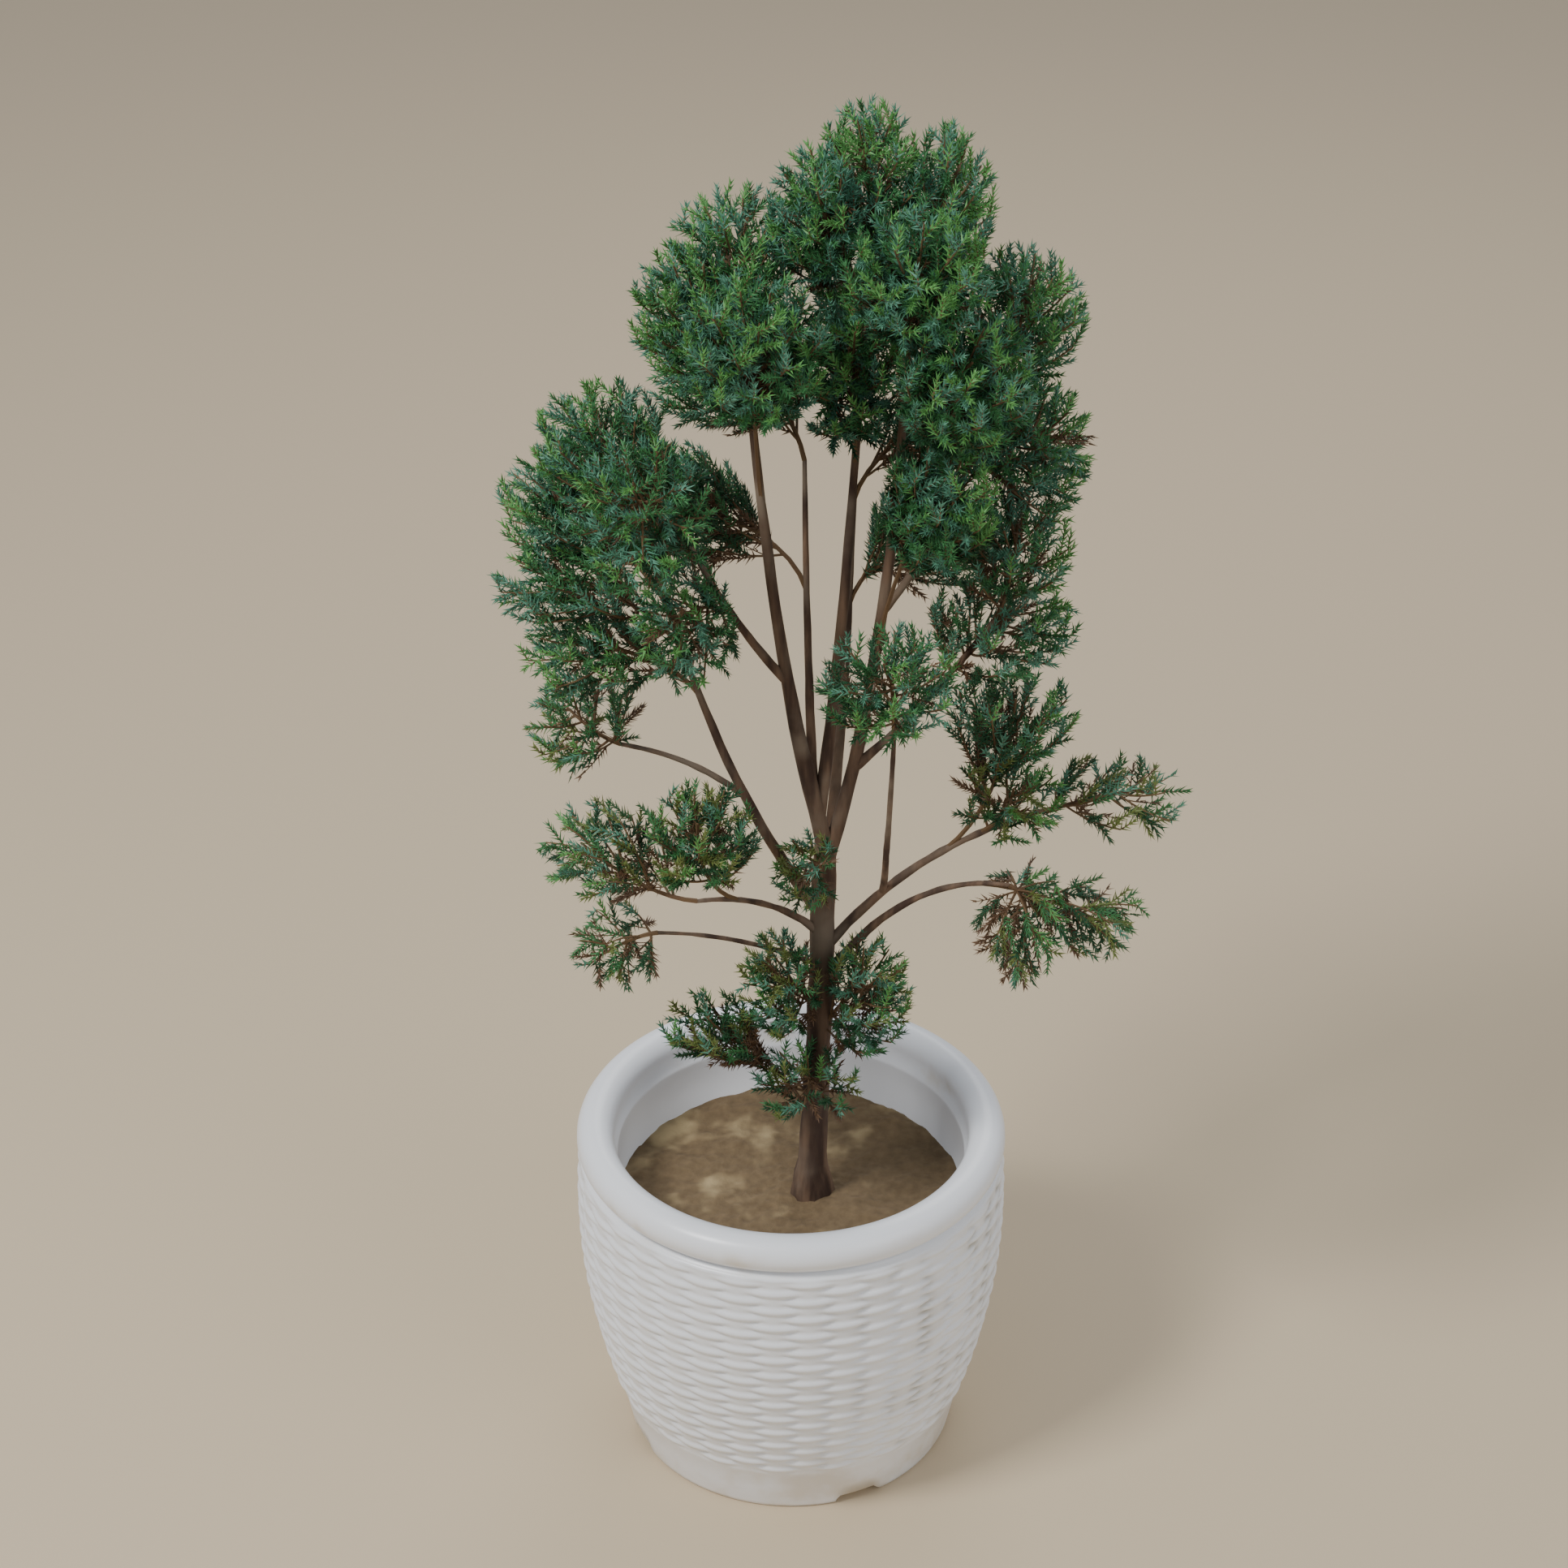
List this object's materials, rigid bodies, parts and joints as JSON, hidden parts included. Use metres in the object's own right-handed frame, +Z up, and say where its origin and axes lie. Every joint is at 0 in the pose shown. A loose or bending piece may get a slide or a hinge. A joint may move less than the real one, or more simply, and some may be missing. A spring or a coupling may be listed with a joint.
{
  "type": "potted young conifer",
  "caption": "Young conifer with awl-shaped needles on upright boughs, growing in soil in a round white pot with a woven pattern.",
  "frame": {"origin": "centre of the pot's flat underside, on the pot's axis", "axes": "+Z up, -Y towards the front of the plant, +X to the plant's right as seen from the front"},
  "size_m": [0.4286, 0.292, 0.9519],
  "materials": {
    "pot": "slightly glossy white moulded plastic",
    "soil": null,
    "bark": "rough fibrous bark",
    "foliage": "matt green needles on thin twigs"
  },
  "bodies": {
    "root": {"pot": "pot", "soil": "soil", "trunk": "bark", "leader_left": "bark", "leader_right": "bark", "leader_mid": "bark", "leader_mid_left": "bark", "leader_back": "bark", "bough_left": "bark", "bough_left_side": "bark", "bough_shoulder": "bark", "bough_low_left": "bark", "twig_low_left": "bark", "bough_right_a": "bark", "bough_right_b": "bark", "stem_right_front": "bark", "bough_right_mid": "bark", "bough_right_top": "bark", "crown_top": "foliage", "crown_top_left": "foliage", "crown_top_right": "foliage", "crown_bright_front": "foliage", "upper_left_top": "foliage", "upper_left_outer": "foliage", "upper_left_front": "foliage", "upper_right_outer": "foliage", "upper_right_front": "foliage", "crown_heart": "foliage", "right_middle_top": "foliage", "right_middle_low": "foliage", "right_inner": "foliage", "shoulder_top": "foliage", "shoulder_outer": "foliage", "shoulder_front": "foliage", "shoulder_low": "foliage", "left_mid": "foliage", "left_low": "foliage", "left_mid_inner": "foliage", "left_droop_outer": "foliage", "left_droop_inner": "foliage", "left_fringe": "foliage", "front_tuft": "foliage", "right_low_mid": "foliage", "right_mid_lower": "foliage", "right_lower_tip": "foliage", "right_lower_inner": "foliage", "right_droop": "foliage", "right_fringe": "foliage", "trunk_tuft": "foliage", "foot_left": "foliage", "foot_right": "foliage", "foot_low": "foliage", "foot_sprig": "foliage", "back_top": "foliage", "back_left": "foliage", "back_right": "foliage", "back_left_low": "foliage", "back_right_low": "foliage"}
  },
  "joints": []
}
